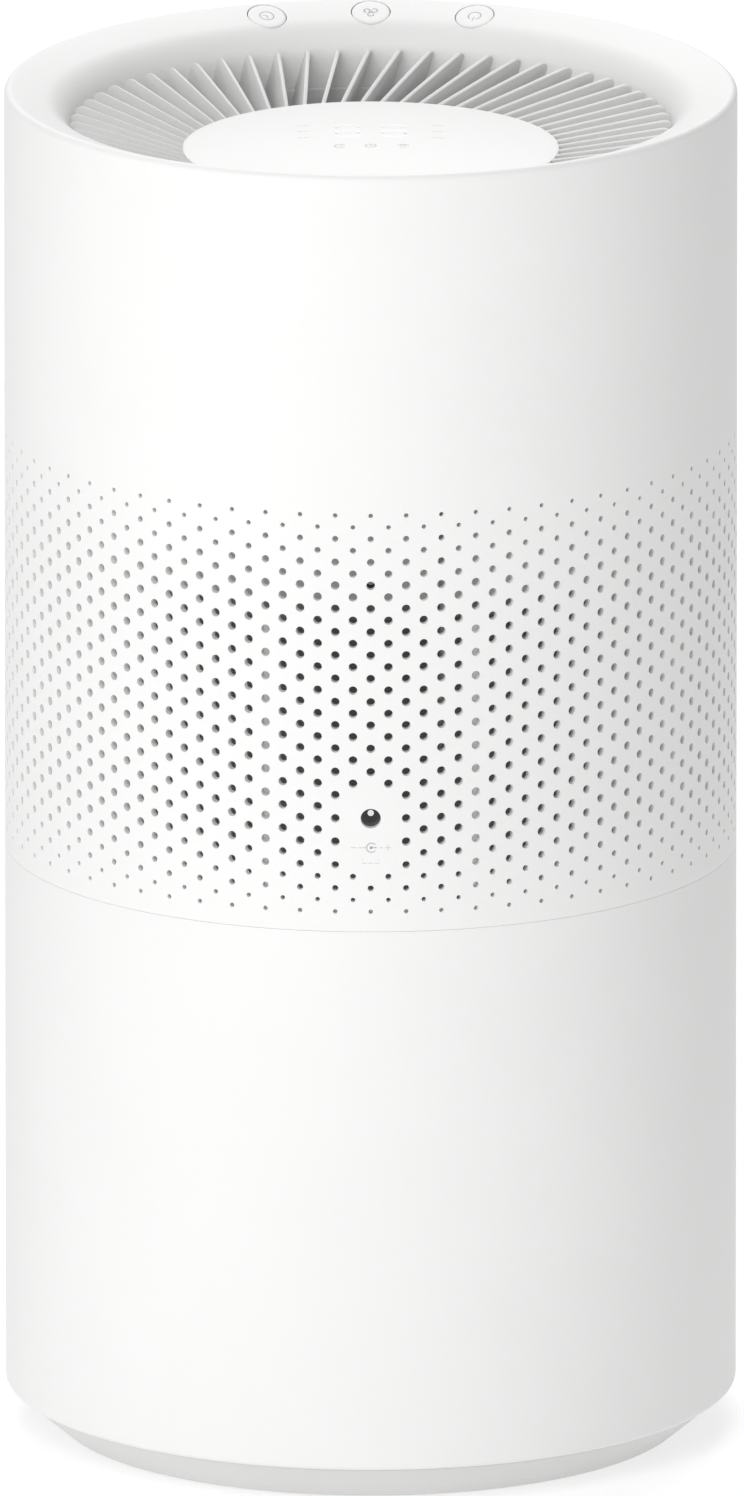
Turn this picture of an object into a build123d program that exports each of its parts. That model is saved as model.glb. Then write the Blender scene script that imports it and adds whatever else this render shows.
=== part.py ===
from build123d import *
import os
from math import cos, radians, sin, tan

# A cylindrical air purifier: a fan housing lifts off a drum that holds a ring filter.
# Millimetres, +Z up, origin at the middle of the face it stands on.
# -Y is the side with the DC inlet, +Y the side with the three push buttons.

# Overall size
outer_radius = 115.0
total_height = 431.5
wall = 2.5
inner_radius = outer_radius - wall
sliding_gap = 0.3
fastener_gap = 0.05

# Lower drum and base
foot_height = 3.5
base_bottom = 1.5
base_bottom_radius = 97.8
drum_bottom = 13.0
drum_bottom_round = 1.8
drum_top = 187.6
floor_bottom = 16.0
floor_top = 18.5
plate_radius = 94.2
plate_bottom = 2.0
plate_top = 5.5
flange_top = 7.5
foot_radius = 7.0
foot_circle = 80.0
foot_count = 6
base_screw_circle = 84.0
base_screw_count = 6
magnet_low = 164.0
magnet_high = 172.0

# Filter
seat_top = 27.0
filter_bottom = 28.0
filter_top = 286.0
cap_thickness = 6.0
cap_radius = 76.0
media_outer = 73.2
media_inner = 52.0
core_inner = 46.0
deck_bottom = 290.0

# Upper shell and rim
shell_bottom = 188.0
rim_slope = radians(18.8)
crest_round = 3.0
throat_radius = 94.5
throat_round = 12.0
throat_bottom = 404.0
boss_radius = 4.0
boss_circle = 102.0
boss_count = 6
jack_height = 224.6
jack_hole_radius = 3.15

# Inner frame and fan
skirt_low = 176.0
skirt_high = 192.0
skirt_inner = 109.8
rib_count = 10
rib_inner = 105.6
rib_outer = 109.5
deck_screw_circle = 101.5
deck_thickness = 3.0
deck_top = deck_bottom + deck_thickness
duct_outer = 108.0
duct_inner = 105.5
duct_top = 399.0
flange_low = 396.0
eye_radius = 46.0
impeller_bottom = 304.0
impeller_top = 344.0
impeller_radius = 88.0
blade_count = 9
shaft_radius = 3.0
running_gap = 0.05
can_top = 364.0
cradle_bottom = 370.0
cradle_floor = 373.0
cradle_radius = 57.5
arm_count = 4
arm_low = 378.0
arm_high = 391.0

# Outlet grille and display
hub_radius = 59.0
hub_edge = 411.9
dome_rise = 5.0
fin_count = 60
fin_tip_radius = 94.2
fin_tip_height = 421.0
fin_root_height = 412.0
fin_sweep = radians(8.5)
fin_tilt = radians(16.0)
fin_thickness = 1.5
fin_tip_depth = 16.0
fin_root_depth = 12.0

# Buttons
button_circle = 105.9
button_spacing = 18.0
button_radius = 6.0
button_travel = 0.6
button_board_top = 414.1


def cylinder(radius, low, high, x=0.0, y=0.0):
    """Upright cylinder between two heights."""
    centred_on_low_face = (Align.CENTER, Align.CENTER, Align.MIN)
    return Pos(x, y, low) * Cylinder(radius, high - low, align=centred_on_low_face)


def tube(outer, inner, low, high):
    """Upright ring between two heights."""
    return cylinder(outer, low, high) - cylinder(inner, low - 1, high + 1)


def block(x_low, x_high, y_low, y_high, z_low, z_high):
    """Box between six faces."""
    middle = Pos((x_low + x_high) / 2, (y_low + y_high) / 2, (z_low + z_high) / 2)
    return middle * Box(x_high - x_low, y_high - y_low, z_high - z_low)


def turned(points, rounds=()):
    """Ring turned about Z from radius and height points; rounds pairs a corner with a radius."""
    face = make_face(Polyline(*points, close=True))
    for corner, radius in rounds:
        nearest = face.vertices().sort_by_distance((corner[0], corner[1], 0))[0]
        face = fillet(nearest, radius)
    return revolve(Plane.XZ * face, Axis.Z)


def around(shape, count, start=0.0):
    """Copies of a shape, evenly spaced about Z."""
    return [Rot(0, 0, start + 360 * index / count) * shape for index in range(count)]


def group(shapes):
    """Separate solids held in one part."""
    return Part() + list(shapes)


def screw(x, y, head, tip, radius=1.5, head_radius=3.0, head_height=2.0):
    """Pan-head screw along Z from the outer face of its head to its tip."""
    direction = 1 if tip > head else -1
    neck = head + direction * head_height
    shank = cylinder(radius, min(neck, tip), max(neck, tip), x, y)
    cap = cylinder(head_radius, min(head, neck), max(head, neck), x, y)
    recess = cylinder(head_radius * 0.4, min(head, head + direction), max(head, head + direction), x, y)
    return shank + cap - recess


def lead(points, radius, bends):
    """Round wire along straight runs joined by tangent arcs."""
    path = FilletPolyline(*points, radius=bends)
    section = Plane(origin=path @ 0, z_dir=path % 0) * Circle(radius)
    return sweep(section, path=path)


def dish_height(radius):
    """Height of the sloping rim at a radius."""
    corner = total_height - crest_round + crest_round / tan((radians(90) - rim_slope) / 2)
    return corner - (outer_radius - radius) * tan(rim_slope)


# ---------------------------------------------------------------- lower drum


def make_lower_drum():
    """Drum wall with its floor, screw bosses and the pocket for the interlock magnet."""
    drum = turned(
        [
            (outer_radius, drum_bottom),
            (outer_radius, drum_top),
            (inner_radius, drum_top),
            (inner_radius, floor_top),
            (0, floor_top),
            (0, floor_bottom),
            (inner_radius, floor_bottom),
            (inner_radius, drum_bottom),
        ],
        [((outer_radius, drum_bottom), drum_bottom_round)],
    )
    boss = cylinder(4.5, flange_top, floor_bottom, base_screw_circle)
    drum = drum + around(boss, base_screw_count)
    pilot = cylinder(1.5 + fastener_gap, flange_top, floor_bottom - 1, base_screw_circle)
    drum = drum - around(pilot, base_screw_count)
    pocket = block(-5, 5, -inner_radius - 1, -103, magnet_low - 2, magnet_high)
    cavity = block(-3, 3, -109.5, -105, magnet_low, magnet_high + 1)
    return drum + pocket - cavity


def make_base_ring():
    """Cone under the drum, with the inner flange that the base screws clamp."""
    ring = turned(
        [
            (plate_radius + 0.2, base_bottom),
            (base_bottom_radius, base_bottom),
            (outer_radius - 2, drum_bottom - 0.1),
            (outer_radius - 5.2, drum_bottom - 0.1),
            (101.5, flange_top),
            (76, flange_top),
            (76, plate_top),
            (plate_radius + 0.2, plate_top),
        ],
        [((base_bottom_radius, base_bottom), 0.8)],
    )
    hole = cylinder(1.7, plate_top - 1, flange_top + 1, base_screw_circle)
    return ring - around(hole, base_screw_count)


def make_base_plate():
    """Bottom cover with recesses for the feet and the screw heads."""
    plate = cylinder(plate_radius, plate_bottom, plate_top)
    foot_recess = cylinder(foot_radius + 0.2, plate_bottom - 1, foot_height, foot_circle)
    plate = plate - around(foot_recess, foot_count, 30)
    hole = cylinder(1.7, plate_bottom - 1, plate_top + 1, base_screw_circle)
    head_recess = cylinder(3.3, plate_bottom - 1, plate_bottom + 2.2, base_screw_circle)
    plate = plate - around(hole, base_screw_count) - around(head_recess, base_screw_count)
    rib = tube(60, 58, plate_top, flange_top + 4)
    return plate + rib


def make_foot_pads():
    """Soft round pads under the base plate."""
    pad = chamfer(cylinder(foot_radius, 0, foot_height, foot_circle).edges().group_by(Axis.Z)[0], 0.6)
    return group(around(pad, foot_count, 30))


def make_base_screws():
    """Screws driven up through the base plate into the drum."""
    return group(around(screw(base_screw_circle, 0, plate_bottom + 0.2, 14), base_screw_count))


def make_filter_seat():
    """Ring on the drum floor that centres the filter."""
    seat = tube(79.5, 60, floor_top, seat_top) + tube(79.5, 77, seat_top, seat_top + 5)
    slot = block(50, 90, -6, 6, floor_top - 1, seat_top - 3)
    return seat - around(slot, 6)


def make_seat_gasket():
    """Foam ring between the seat and the filter."""
    return tube(74, 62, seat_top, filter_bottom)


def make_interlock_magnet():
    """Magnet that tells the controller the housing is in place."""
    return block(-3, 3, -109.5, -106.5, magnet_low, magnet_high)


# -------------------------------------------------------------------- filter


def make_filter_media():
    """Envelope of the pleated paper ring."""
    return tube(media_outer, media_inner, filter_bottom + cap_thickness, filter_top - cap_thickness)


def make_filter_bottom_cap():
    """Closed end cap."""
    top = filter_bottom + cap_thickness
    cap = cylinder(cap_radius, filter_bottom, top)
    rim = tube(cap_radius, 74.8, top, top + 4)
    return fillet((cap + rim).edges().group_by(Axis.Z)[0], 1.5)


def make_filter_top_cap():
    """Open end cap with the air outlet in its middle."""
    low = filter_top - cap_thickness
    cap = tube(cap_radius, core_inner, low, filter_top)
    rim = tube(cap_radius, 74.8, low - 4, low)
    return fillet((cap + rim).edges().group_by(Axis.Z)[-1], 1.5)


def make_carbon_core():
    """Sleeve of carbon granules inside the pleats."""
    return tube(media_inner - 0.5, core_inner, filter_bottom + cap_thickness, filter_top - cap_thickness)


def make_prefilter_mesh():
    """Mesh sleeve round the pleats."""
    return tube(74.6, 73.5, filter_bottom + cap_thickness, filter_top - cap_thickness)


def make_pull_strap():
    """Strap across the filter's outlet that it is lifted out by."""
    band = block(-56, 56, -7, 7, filter_top, filter_top + 0.8)
    return fillet(band.edges().filter_by(Axis.Z), 3)


def make_filter_gasket():
    """Foam ring that seals the filter against the fan deck."""
    return tube(72, 60, filter_top, deck_bottom)


# ------------------------------------------------------------- housing shell


def make_rim_blank():
    """Solid ring under the rim's surface, used to end the buttons and bosses on it."""
    crest = (outer_radius, dish_height(outer_radius))
    lip = (throat_radius, dish_height(throat_radius))
    return turned(
        [(outer_radius, duct_top - 1), crest, lip, (throat_radius, duct_top - 1)],
        [(crest, crest_round), (lip, throat_round)],
    )


def place_button(index, shape):
    """Turn a shape made on the +X side to one of the three button places."""
    return Rot(0, 0, 90 + button_spacing * (1 - index)) * shape


def make_upper_shell():
    """Outer wall, sloping rim and throat in one skin, with bosses under the rim."""
    crest = (outer_radius, dish_height(outer_radius))
    lip = (throat_radius, dish_height(throat_radius))
    under = wall / cos(rim_slope)
    throat_outer = throat_radius + wall
    under_lip = (throat_outer, dish_height(throat_outer) - under)
    shell = turned(
        [
            (outer_radius, shell_bottom),
            crest,
            lip,
            (throat_radius, throat_bottom),
            (throat_outer, throat_bottom),
            under_lip,
            (inner_radius, dish_height(inner_radius) - under),
            (inner_radius, shell_bottom),
        ],
        [(crest, crest_round), (lip, throat_round), (under_lip, throat_round - wall)],
    )
    boss = cylinder(boss_radius, duct_top, total_height, boss_circle) & Pos(0, 0, -wall / 2) * make_rim_blank()
    shell = shell + around(boss, boss_count)
    pilot = cylinder(1.5 + fastener_gap, duct_top - 1, duct_top + 16, boss_circle)
    shell = shell - around(pilot, boss_count)
    opening = cylinder(button_radius + sliding_gap, total_height - 10, total_height + 10, button_circle)
    shell = shell - [place_button(index, opening) for index in range(3)]
    post = cylinder(2.0, button_board_top, dish_height(103) - under / 2, 103)
    shell = shell + [Rot(0, 0, angle) * post for angle in (81, 99)]
    jack_hole = Pos(0, -outer_radius, jack_height) * Rot(90, 0, 0) * Cylinder(jack_hole_radius, 20)
    return shell - jack_hole


def make_skirt_ring():
    """Spigot inside the housing's lower edge that plugs into the drum."""
    spigot = tube(inner_radius - sliding_gap, skirt_inner, skirt_low, shell_bottom)
    return spigot + tube(inner_radius, skirt_inner, shell_bottom, skirt_high)


def make_intake_foot():
    """Ring inside the skirt that the ribs stand on."""
    return tube(skirt_inner - 0.1, 103, skirt_high - 6, skirt_high)


def make_intake_ribs():
    """Upright ribs between the foot ring and the frame's top ring."""
    rib = block(rib_inner, rib_outer, -2, 2, skirt_high, deck_bottom - 3)
    return group(around(rib, rib_count))


def make_intake_frame():
    """Ring on top of the ribs, with bosses for the fan deck's screws."""
    frame = tube(duct_outer, 97.5, deck_bottom - 3, deck_bottom)
    boss = cylinder(boss_radius, deck_bottom - 12, deck_bottom, deck_screw_circle)
    frame = frame + around(boss, rib_count // 2)
    pilot = cylinder(1.5 + fastener_gap, deck_bottom - 11, deck_bottom + 1, deck_screw_circle)
    return frame - around(pilot, rib_count // 2)


def make_jack_bracket():
    """Upright plate behind the DC inlet and the dust sensor."""
    plate = block(-18, 18, -95.5, -93.5, 206, deck_bottom)
    shelf = block(-8, 8, -106, -95.5, 214, 217)
    return plate + shelf


def make_dc_jack():
    """Round DC inlet with a flared mouth."""
    body = block(-6, 6, -108, -95.5, 217, 231)
    mouth = Pos(0, -110, jack_height) * Rot(90, 0, 0) * Cylinder(5.2, 4)
    socket = Pos(0, -107, jack_height) * Rot(90, 0, 0) * Cylinder(2.8, 16)
    flare = Pos(0, -111, jack_height) * Rot(90, 0, 0) * Cone(2.8, 3.6, 2.01)
    return body + mouth - socket - flare


def make_jack_pin():
    """Centre contact of the DC inlet."""
    return Pos(0, -103.5, jack_height) * Rot(90, 0, 0) * Cylinder(1.0, 9)


def make_dust_sensor():
    """Box that samples the air behind the perforations."""
    box = block(-16.5, 16.5, -107, -95.5, 254, deck_bottom - 3.2)
    lens = Pos(0, -107, 272) * Rot(90, 0, 0) * Cylinder(4, 6)
    return box - lens


def make_sensor_port():
    """Dark tube that joins the sensor to one hole of the band."""
    port = Pos(0, -110, 299.7) * Rot(90, 0, 0) * Cylinder(3.2, 4)
    bore = Pos(0, -110, 299.7) * Rot(90, 0, 0) * Cylinder(1.4, 5)
    return port - bore


def make_interlock_sensor():
    """Magnetic switch under the intake frame."""
    return block(-4, 4, -108, -104, magnet_high + 3, skirt_high - 6)


# --------------------------------------------------------------- fan section


def make_fan_deck():
    """Plate over the filter, with the rounded inlet of the impeller."""
    deck = turned(
        [
            (54, deck_bottom),
            (duct_outer, deck_bottom),
            (duct_outer, deck_top),
            (57, deck_top),
            (eye_radius + 2, 299),
            (eye_radius + 2, impeller_bottom + 2),
            (eye_radius, impeller_bottom + 2),
            (eye_radius, 298),
        ],
        [((eye_radius, 298), 5), ((eye_radius + 2, 299), 5)],
    )
    hole = cylinder(1.7, deck_bottom - 1, deck_top + 1, deck_screw_circle)
    return deck - around(hole, rib_count // 2)


def make_inlet_guard():
    """Rings and spokes across the fan inlet."""
    low = deck_bottom - 2.5
    guard = tube(58, 54, low, deck_bottom)
    for radius in (44, 34, 24, 14):
        guard = guard + tube(radius, radius - 1.6, low, low + 2)
    guard = guard + cylinder(5, low, low + 2)
    spoke = block(4, 55, -0.9, 0.9, low, low + 2)
    return guard + around(spoke, 8)


def make_fan_duct():
    """Wall round the impeller that turns the air upwards to the outlet."""
    duct = tube(duct_outer, duct_inner, deck_top, duct_top)
    duct = duct + tube(duct_inner + 1, 97.5, deck_top, deck_top + 2.5)
    duct = duct + tube(duct_inner + 1, throat_radius + 2.5, flange_low, duct_top)
    deck_hole = cylinder(1.7, deck_top - 1, deck_top + 4, deck_screw_circle)
    duct = duct - around(deck_hole, rib_count // 2)
    shell_hole = cylinder(1.7, flange_low - 1, duct_top + 1, boss_circle)
    duct = duct - around(shell_hole, boss_count)
    cradle_hole = Pos(duct_outer, 0, 382) * Rot(0, 90, 0) * Cylinder(1.7, 12)
    duct = duct - around(cradle_hole, 2, 0)
    wire_slot = block(-3, 3, duct_inner - 3, duct_outer + 3, 376, 391)
    return duct - around(wire_slot, 2, 0)


def make_duct_seal():
    """Foam ring between the duct and the throat."""
    return tube(throat_radius + 3, throat_radius, duct_top, throat_bottom)


def make_impeller():
    """Shrouded wheel with backward-curved blades."""
    back = cylinder(impeller_radius, impeller_top - 3, impeller_top)
    hub = cylinder(9, impeller_bottom + 14, impeller_top)
    shroud = turned(
        [
            (50, impeller_bottom - 1),
            (impeller_radius, impeller_bottom + 12),
            (impeller_radius, impeller_bottom + 14),
            (54, impeller_bottom + 4),
            (52, impeller_bottom + 2),
            (50, impeller_bottom + 2),
        ]
    )
    envelope = turned(
        [
            (51, impeller_bottom + 1),
            (impeller_radius - 1, impeller_bottom + 12.7),
            (impeller_radius - 1, impeller_top - 1),
            (44, impeller_top - 1),
            (44, impeller_bottom + 16),
            (51, impeller_bottom + 8),
        ]
    )
    sweep_back = radians(42)
    root = (46, 0)
    middle = (68 * cos(sweep_back * 0.4), 68 * sin(sweep_back * 0.4))
    tip = (90 * cos(sweep_back), 90 * sin(sweep_back))
    line = ThreePointArc(root, middle, tip)
    blade_face = trace(line, line_width=2)
    blade = Pos(0, 0, impeller_bottom) * extrude(blade_face, impeller_top - impeller_bottom)
    blade = blade & envelope
    bore = cylinder(shaft_radius, impeller_bottom, impeller_top + 1)
    return back + hub + shroud + around(blade, blade_count) - bore


def make_motor_shaft():
    """Shaft from the impeller's nut to above the upper bearing."""
    return cylinder(shaft_radius, impeller_bottom + 8, can_top + 3)


def make_impeller_nut():
    """Nut that holds the impeller on the shaft."""
    nut = Pos(0, 0, impeller_bottom + 9) * extrude(RegularPolygon(6, 6), 5)
    return nut - cylinder(shaft_radius, impeller_bottom, impeller_bottom + 20)


def make_rotor_can():
    """Outer cup of the motor, fixed to the back of the impeller."""
    can = cylinder(28, impeller_top, can_top) - cylinder(26.5, impeller_top + 2, can_top + 1)
    return can - cylinder(shaft_radius, impeller_top - 1, can_top)


def make_rotor_magnets():
    """Magnet ring inside the rotor can."""
    return tube(26.5, 24, impeller_top + 2.5, can_top - 1)


def make_motor_stator():
    """Toothed iron core."""
    low = impeller_top + 5
    high = can_top - 4
    core = tube(12, 8, low, high)
    tooth = block(11, 20, -1.6, 1.6, low, high)
    shoe = tube(23, 20, low, high) & block(15, 25, -5.2, 5.2, low, high)
    return core + around(tooth, 9) + around(shoe, 9)


def make_stator_coils():
    """Copper winding round each tooth."""
    low = impeller_top + 3.5
    high = can_top - 2.5
    coil = block(13, 19.5, -3.4, 3.4, low, high)
    tooth = block(11, 21, -1.6, 1.6, impeller_top + 5, can_top - 4)
    return group(around(coil - tooth, 9))


def make_motor_mount():
    """Plate and bearing tube that carry the motor."""
    plate = cylinder(25, can_top + 2, cradle_bottom)
    sleeve = tube(8, 6.5, impeller_top + 3, can_top + 3)
    mount = plate + sleeve - cylinder(6.5, impeller_top, cradle_bottom - 1)
    mount = mount - cylinder(shaft_radius + 1, can_top, cradle_bottom + 1)
    wire_hole = cylinder(2.2, can_top, cradle_bottom + 1, 14)
    pilot = cylinder(1.5 + fastener_gap, can_top + 1, cradle_bottom + 1, 20)
    return mount - wire_hole - around(pilot, 4, 45)


def make_motor_bearings():
    """Two ball bearings, each drawn as one ring."""
    lower = tube(6.5, shaft_radius + running_gap, impeller_top + 4, impeller_top + 9)
    upper = tube(6.5, shaft_radius + running_gap, can_top - 4, can_top + 1)
    return group([lower, upper])


def make_motor_cradle():
    """Cup under the display that hangs the motor on four arms in the duct."""
    cup = cylinder(cradle_radius, cradle_bottom, 398) - cylinder(cradle_radius - 2.5, cradle_floor, 399)
    arm = block(cradle_radius - 1, duct_inner - 1, -5, 5, arm_low, arm_high)
    gutter = block(cradle_radius - 4, duct_inner + 1, -2.5, 2.5, arm_low + 6, arm_high + 1)
    ring = tube(duct_inner - 0.1, duct_inner - 3, arm_low, arm_high)
    cup = cup + ring + around(arm, arm_count)
    cup = cup - around(gutter, 2, 90)
    arm_pilot = Pos(duct_inner, 0, 382) * Rot(0, 90, 0) * Cylinder(1.5 + fastener_gap, 24)
    cup = cup - around(arm_pilot, 2, 0)
    post = cylinder(3, cradle_floor - 0.5, 380, 44)
    cup = cup + around(post, 4, 45)
    damper_hole = cylinder(4, cradle_bottom - 1, cradle_floor + 0.01, 20)
    centre_hole = cylinder(2.4, cradle_bottom - 1, cradle_floor + 1, 14)
    return cup - around(damper_hole, 4, 45) - centre_hole


def make_motor_dampers():
    """Rubber bushes between the motor mount and the cradle."""
    bush = cylinder(4, cradle_bottom, cradle_floor, 20)
    collar = cylinder(5.5, cradle_floor, cradle_floor + 1.5, 20)
    bore = cylinder(1.6, cradle_bottom - 1, cradle_floor + 2, 20)
    return group(around(bush + collar - bore, 4, 45))


def make_motor_screws():
    """Screws through the dampers into the motor mount."""
    return group(around(screw(20, 0, cradle_floor + 3.5, can_top + 2.5), 4, 45))


def make_cradle_screws():
    """Screws that fix two of the cradle's arms through the duct wall."""
    upright = screw(0, 0, duct_outer + 2, duct_inner - 9)
    sideways = Pos(0, 0, 382) * Rot(0, 90, 0) * upright
    return group(around(sideways, 2))


def make_deck_screws():
    """Screws that join the duct, the deck and the intake frame."""
    return group(around(screw(deck_screw_circle, 0, deck_top + 4.5, deck_bottom - 9), rib_count // 2))


def make_shell_screws():
    """Screws up through the duct's top flange into the shell's bosses."""
    return group(around(screw(boss_circle, 0, flange_low - 2, duct_top + 13), boss_count))


# ---------------------------------------------------------- outlet and display


def make_fin():
    """One swept, tilted fin on the +X side, trimmed between the hub and the throat."""
    tip = Vector(fin_tip_radius, 0, fin_tip_height)
    root_x = hub_radius * cos(fin_sweep)
    root_y = hub_radius * sin(fin_sweep)
    root = Vector(root_x, root_y, fin_root_height)
    along = (root - tip).normalized()
    flat = Vector(along.X, along.Y, 0).normalized()
    sideways = Vector(flat.Y, -flat.X, 0)
    lean = sideways * sin(fin_tilt) + Vector(0, 0, -cos(fin_tilt))
    plane = Plane(origin=tip, x_dir=along, z_dir=along.cross(lean))
    length = (root - tip).length
    side = Polyline(
        (-1.5, 0),
        (length + 3, 0),
        (length + 3, fin_root_depth),
        (-4, fin_tip_depth),
        close=True,
    )
    face = make_face(side)
    corner = face.vertices().sort_by_distance((-1.5, 0, 0))[0]
    face = fillet(corner, 2.5)
    plate = extrude(plane * face, fin_thickness / 2, both=True)
    keep = tube(fin_tip_radius, hub_radius - 1, 390, 430) - cylinder(hub_radius + 0.2, hub_edge - 1, 430)
    return plate & keep


def make_outlet_grille():
    """Swept fins between a hub collar and a tip ring, in one moulding."""
    collar = tube(hub_radius, hub_radius - 2.5, 398, hub_edge - 1)
    ledge = tube(hub_radius - 2, hub_radius - 8, 400, 402)
    tip_ring = tube(fin_tip_radius - 0.2, fin_tip_radius - 2, 404.5, 408)
    grille = collar + ledge + tip_ring
    return grille + around(make_fin(), fin_count, 90)


def make_display_cover():
    """Shallow translucent dome over the display."""
    edge = hub_radius + 0.1
    top = hub_edge + dome_rise
    ball = (edge**2 + dome_rise**2) / (2 * dome_rise)
    outer = cylinder(edge, hub_edge - 1, top + 1) & (Pos(0, 0, top - ball) * Sphere(ball))
    hollow = cylinder(edge - 3, hub_edge - 2, top) & (Pos(0, 0, top - ball) * Sphere(ball - 2))
    return outer - hollow


def make_display_board():
    """Round board under the dome."""
    return cylinder(54, 402, 403.6)


def make_display_module():
    """Block with the two numerals and the marks beside them."""
    return block(-17, 17, -2, 16, 403.6, 410)


def make_light_guides():
    """Small light guides under the three icons."""
    return group([block(x - 3, x + 3, -12, -6, 403.6, 409) for x in (-9.6, 0, 10.4)])


def make_control_board():
    """Main board on posts in the cradle."""
    board = cylinder(50, 380, 381.6)
    return board - cylinder(1.2, 379, 383, 44)


def make_board_components():
    """Capacitors, coil, chip and sockets on the main board."""
    top = 381.6
    cans = [cylinder(4, top, top + 11, x, 22) for x in (-12, 0, 12)]
    chip = block(-8, 8, -8, 8, top, top + 1.6)
    coil = block(20, 32, -14, -2, top, top + 7)
    jack_socket = block(-5, 5, -44, -36, top, top + 8)
    button_socket = block(-5, 5, 36, 44, top, top + 8)
    return group(cans + [chip, coil, jack_socket, button_socket])


# ------------------------------------------------------------------- buttons


def make_button(index):
    """Round button cut flush with the rim, with two ears and a stem below."""
    cap = cylinder(button_radius, 424, total_height + 5, button_circle) & make_rim_blank()
    ears = block(button_circle - 4, button_circle + 4, -8.2, 8.2, 422.4, 424)
    stem = cylinder(2, button_board_top + 4.5 + button_travel + 0.1, 422.4, button_circle)
    return place_button(index, cap + ears + stem)


def make_button_board():
    """Curved board under the buttons."""
    board = tube(111.5, 98.5, button_board_top - 1.6, button_board_top)
    keep = block(-46, 46, 80, 120, 400, 430)
    return board & keep


def make_tact_switches():
    """Small switches, one under each button."""
    body = block(button_circle - 3, button_circle + 3, -3, 3, button_board_top, button_board_top + 3.5)
    plunger = cylinder(1.7, button_board_top + 3.5, button_board_top + 4.5, button_circle)
    return group([place_button(index, body + plunger) for index in range(3)])


# -------------------------------------------------------------------- wiring


def make_power_lead():
    """Lead from the DC inlet up the outside of the duct to the main board."""
    gap_radius = 110.25
    climb = [(282, 272)] + [(282 - 3 * step, 325 + 11 * step) for step in range(5)]
    route = [(6, -102, 226), (13, -102, 226), (20.5, -106, 244)]
    for angle, height in climb:
        route.append((gap_radius * cos(radians(angle)), gap_radius * sin(radians(angle)), height))
    route.append((0, -gap_radius, 386.8))
    route.append((0, -44, 386.8))
    bends = [4, 30] + [20] * len(climb) + [5.8]
    return lead(route, 1.6, bends)


def make_button_lead():
    """Lead from the button board down into the cradle."""
    route = [(0, 110.2, button_board_top - 1.6), (0, 110.2, 386.8), (0, 44, 386.8)]
    return lead(route, 1.4, 5.8)


def make_motor_lead():
    """Short lead from the stator to the main board."""
    return cylinder(1.6, can_top - 2.5, 380, 14)


def write_parts(parts):
    """Write the solids of each sub-part to its own STEP file."""
    os.makedirs("parts", exist_ok=True)
    for name, part in parts.items():
        export_step(group(part.solids()), f"parts/{name}.step")


parts = {
    "lower_drum": make_lower_drum(),
    "base_ring": make_base_ring(),
    "base_plate": make_base_plate(),
    "foot_pads": make_foot_pads(),
    "base_screws": make_base_screws(),
    "filter_seat": make_filter_seat(),
    "seat_gasket": make_seat_gasket(),
    "interlock_magnet": make_interlock_magnet(),
    "filter_media": make_filter_media(),
    "filter_bottom_cap": make_filter_bottom_cap(),
    "filter_top_cap": make_filter_top_cap(),
    "carbon_core": make_carbon_core(),
    "prefilter_mesh": make_prefilter_mesh(),
    "pull_strap": make_pull_strap(),
    "filter_gasket": make_filter_gasket(),
    "upper_shell": make_upper_shell(),
    "skirt_ring": make_skirt_ring(),
    "intake_foot": make_intake_foot(),
    "intake_ribs": make_intake_ribs(),
    "intake_frame": make_intake_frame(),
    "jack_bracket": make_jack_bracket(),
    "dc_jack": make_dc_jack(),
    "jack_pin": make_jack_pin(),
    "dust_sensor": make_dust_sensor(),
    "sensor_port": make_sensor_port(),
    "interlock_sensor": make_interlock_sensor(),
    "fan_deck": make_fan_deck(),
    "inlet_guard": make_inlet_guard(),
    "fan_duct": make_fan_duct(),
    "duct_seal": make_duct_seal(),
    "impeller": make_impeller(),
    "motor_shaft": make_motor_shaft(),
    "impeller_nut": make_impeller_nut(),
    "rotor_can": make_rotor_can(),
    "rotor_magnets": make_rotor_magnets(),
    "motor_stator": make_motor_stator(),
    "stator_coils": make_stator_coils(),
    "motor_mount": make_motor_mount(),
    "motor_bearings": make_motor_bearings(),
    "motor_cradle": make_motor_cradle(),
    "motor_dampers": make_motor_dampers(),
    "motor_screws": make_motor_screws(),
    "cradle_screws": make_cradle_screws(),
    "deck_screws": make_deck_screws(),
    "shell_screws": make_shell_screws(),
    "outlet_grille": make_outlet_grille(),
    "display_cover": make_display_cover(),
    "display_board": make_display_board(),
    "display_module": make_display_module(),
    "light_guides": make_light_guides(),
    "control_board": make_control_board(),
    "board_components": make_board_components(),
    "power_button": make_button(0),
    "speed_button": make_button(1),
    "timer_button": make_button(2),
    "button_board": make_button_board(),
    "tact_switches": make_tact_switches(),
    "power_lead": make_power_lead(),
    "button_lead": make_button_lead(),
    "motor_lead": make_motor_lead(),
}

write_parts(parts)
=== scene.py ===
import logging
from collections.abc import Callable, Sequence
from dataclasses import dataclass, field
from enum import Enum
from functools import partialmethod
from math import cos, hypot, pi, radians, sin, sqrt, tan

import bmesh
import bpy
from mathutils import Matrix, Vector


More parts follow.
